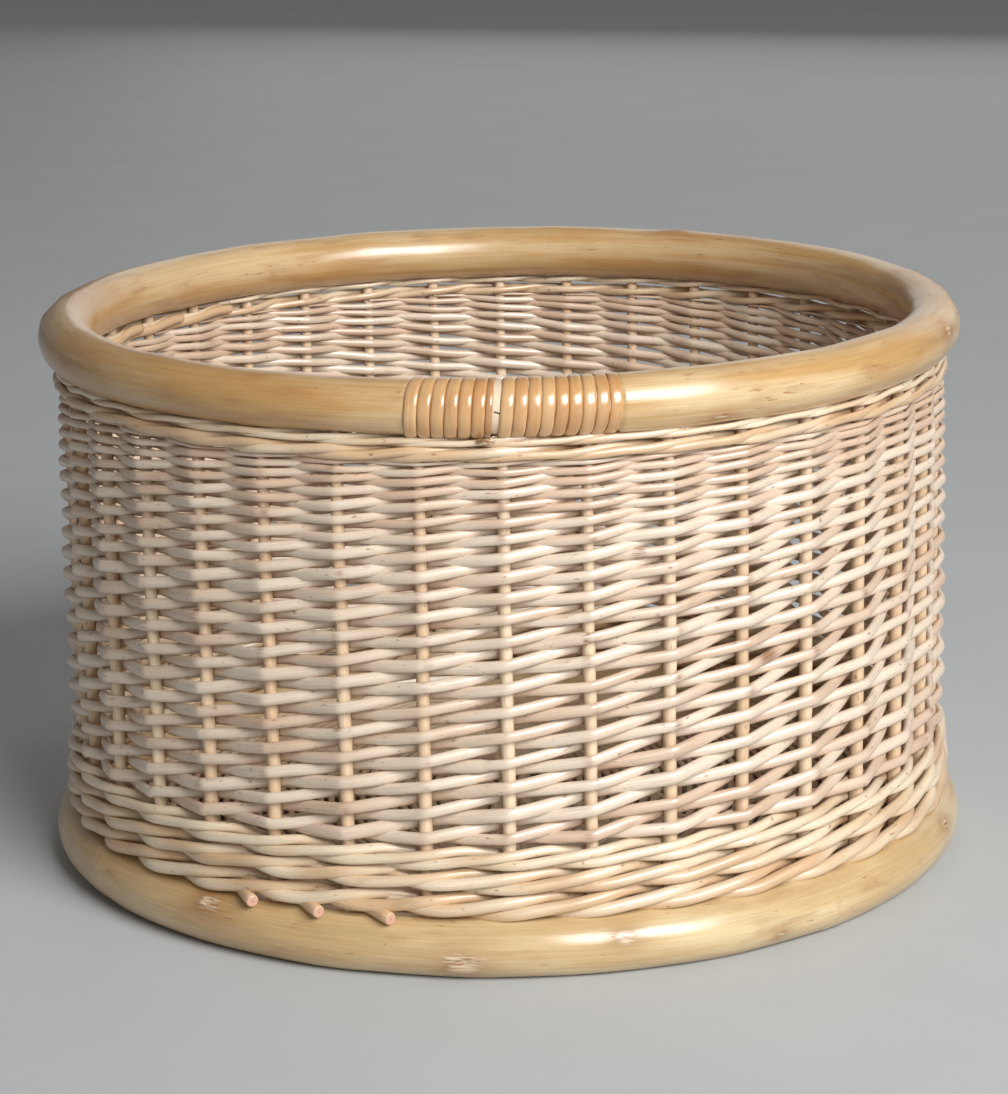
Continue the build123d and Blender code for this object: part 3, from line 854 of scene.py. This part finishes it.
# Rim binding: glossy half-round cane wound over the rim's joint in two groups of turns, edge to
# edge. The left group ends in a loose turn with torn fibres, beside the joint's raw wood.
binding_cane = wood_material(
    "binding_cane",
    cane_skin,
    {
        "Honey": (0.58, 0.31, 0.12, 1),
        "Straw": (0.66, 0.41, 0.19, 1),
        "Amber": (0.36, 0.15, 0.05, 1),
        "Fibre": (0.74, 0.52, 0.36, 1),
        "Cut": (0.7, 0.5, 0.34, 1),
        "Joint Half": 0.0,
    },
    0.15 * mm,
    0.7,
    0.2,
)
binding_pitch_deg = 1.525
# A torn fibre is its first and last angle in degrees, and in mm its first and last height over the
# rim's underside, how far out of the rim cane's middle it lies, and half its thickness.
torn_fibres = (
    (-2.7, -1.2, -0.1, -0.5, 7.0, 1.1), (-2.2, -1.0, 0.7, 0.3, 9.5, 0.8),
    (-1.5, -0.5, 0.9, 3.3, 10.0, 0.45), (-1.3, 0.1, 0.1, -1.0, 10.0, 0.4),
    (-1.0, -0.5, -0.3, 2.1, 11.5, 0.3), (-1.6, -0.9, -0.5, -1.4, 9.5, 0.3),
)
binding_groups = (("rim_binding_left", -10.95, 6, 0.58), ("rim_binding_right", -0.2, 9, 0.0))
across_turn = np.linspace(-1, 1, 15)
dome = np.stack([across_turn, 0.34 + 0.66 * (1 - np.abs(across_turn) ** 2.6) ** 0.6], axis=-1)
flat_back = np.stack([np.linspace(0.9, -0.9, 5), np.full(5, -0.06)], axis=-1)
profile = np.concatenate([dome, flat_back])
for group_name, start_deg, turns, loose in binding_groups:
    spot = np.linspace(-0.25, turns - 0.25 + loose, round((turns + loose) * 80))
    slack = ease((spot - turns + 0.3) / 0.08) if loose else np.zeros(len(spot))
    turn = 2 * np.pi * spot
    distance = turn * bound_cane_radius
    angle = start_deg + binding_pitch_deg * (spot + 0.5 - 0.26 * slack) + wander(distance, 0.03, 37 * mm)
    wound = bound_cane_radius + 0.1 * mm + slack * 0.2 * mm
    outward = around(angle, 1.0, 0.0)
    normal = outward * np.cos(turn)[:, None] + np.array([0, 0, 1]) * np.sin(turn)[:, None]
    line = around(angle, rim_ring_radius, rim_ring_height) + wound[:, None] * normal
    half_width = math.radians(binding_pitch_deg) * (rim_ring_radius + wound * np.cos(turn)) / 2
    half_width = half_width * (1 - 0.46 * slack) + wander(distance, 0.07 * mm, 23 * mm)
    scale = np.stack([half_width, binding_thick * (1 - 0.25 * slack)], axis=-1)
    tone = 0.2 + wander(distance, 0.16, 40 * mm) + 0.8 * slack
    shapes = [rod_shape(line, 1.0, upright=normal, section=profile[None] * scale[:, None], tint=tone,
                        scuff=0.3 * slack, end_round=0.0)]
    if loose:
        for first_deg, last_deg, first_height, last_height, out, size in torn_fibres:
            share = np.linspace(0, 1, 14)
            fibre_deg = first_deg + (last_deg - first_deg) * share
            fibre_reach = rim_ring_radius + (out + 1.5 * np.sin(3 * share)) * mm
            rise = first_height + (last_height - first_height) * share + 0.8 * np.sin(4 * share)
            curl = around(fibre_deg, fibre_reach, rim_low.z + rise * mm)
            shapes.append(rod_shape(curl, size * mm * (1.05 - share), section=round_section(7), tint=0.9,
                                    scuff=0.4, cut=1.0 if size < 0.5 else 0.0))
    strand = wood_piece(f"{group_name}_strand", *shapes)
    finish_piece(strand, binding_cane, "binding_cane", group_name)

# Floor and light: a plain pale floor, one large soft light high on the right, and weak fills from
# the front, from behind and from all round.
floor_reach = 6
floor_corners = [(x * floor_reach, y * floor_reach, 0) for x, y in ((-1, -1), (1, -1), (1, 1), (-1, 1))]
floor_mesh = bpy.data.meshes.new("floor")
floor_mesh.from_pydata(floor_corners, [], [(0, 1, 2, 3)])
floor = bpy.data.objects.new("floor", floor_mesh)
bpy.context.scene.collection.objects.link(floor)
floor_paint = bpy.data.materials.new("floor_paint")
floor_paint.use_nodes = True
floor_tree = floor_paint.node_tree
floor_place = node(floor_tree, "TexCoord").outputs["Object"]
floor_noise = node(floor_tree, "TexNoise", None, Vector=floor_place, Scale=9.0)
floor_colour = blend(floor_tree, floor_noise.outputs[0], (0.5, 0.52, 0.53, 1), (0.55, 0.57, 0.58, 1))
floor_tree.links.new(floor_colour, floor_tree.nodes["Principled BSDF"].inputs["Base Color"])
floor_tree.nodes["Principled BSDF"].inputs["Roughness"].default_value = 0.6
floor_mesh.materials.append(floor_paint)


def soft_light(name, angle_deg, distance, height, size, power, spread_deg, colour):
    """A square soft light that faces the basket."""
    light = bpy.data.lights.new(name, "AREA")
    light.shape = "RECTANGLE"
    light.size, light.size_y = size
    light.energy = power
    light.spread = math.radians(spread_deg)
    light.color = colour
    lamp = bpy.data.objects.new(name, light)
    lamp.location = Vector(around(angle_deg, distance, height))
    lamp.rotation_euler = (Vector((0, 0, 0.13)) - lamp.location).to_track_quat("-Z", "Y").to_euler()
    bpy.context.scene.collection.objects.link(lamp)


soft_light("window_light", 32, 3.4, 2.25, (2.3, 2.1), 92, 120, (1.0, 1.0, 1.0))
soft_light("front_light", -10, 3.2, 0.7, (2.4, 1.2), 5, 179, (1.0, 0.98, 0.95))
soft_light("back_light", 163, 3.6, 1.3, (3.6, 2.2), 15, 179, (1.0, 0.98, 0.95))
world = bpy.data.worlds.new("studio")
bpy.context.scene.world = world
world.use_nodes = True
world.node_tree.nodes["Background"].inputs["Color"].default_value = (0.66, 0.65, 0.64, 1)
world.node_tree.nodes["Background"].inputs["Strength"].default_value = 0.22
bpy.context.scene.view_settings.view_transform = "Standard"
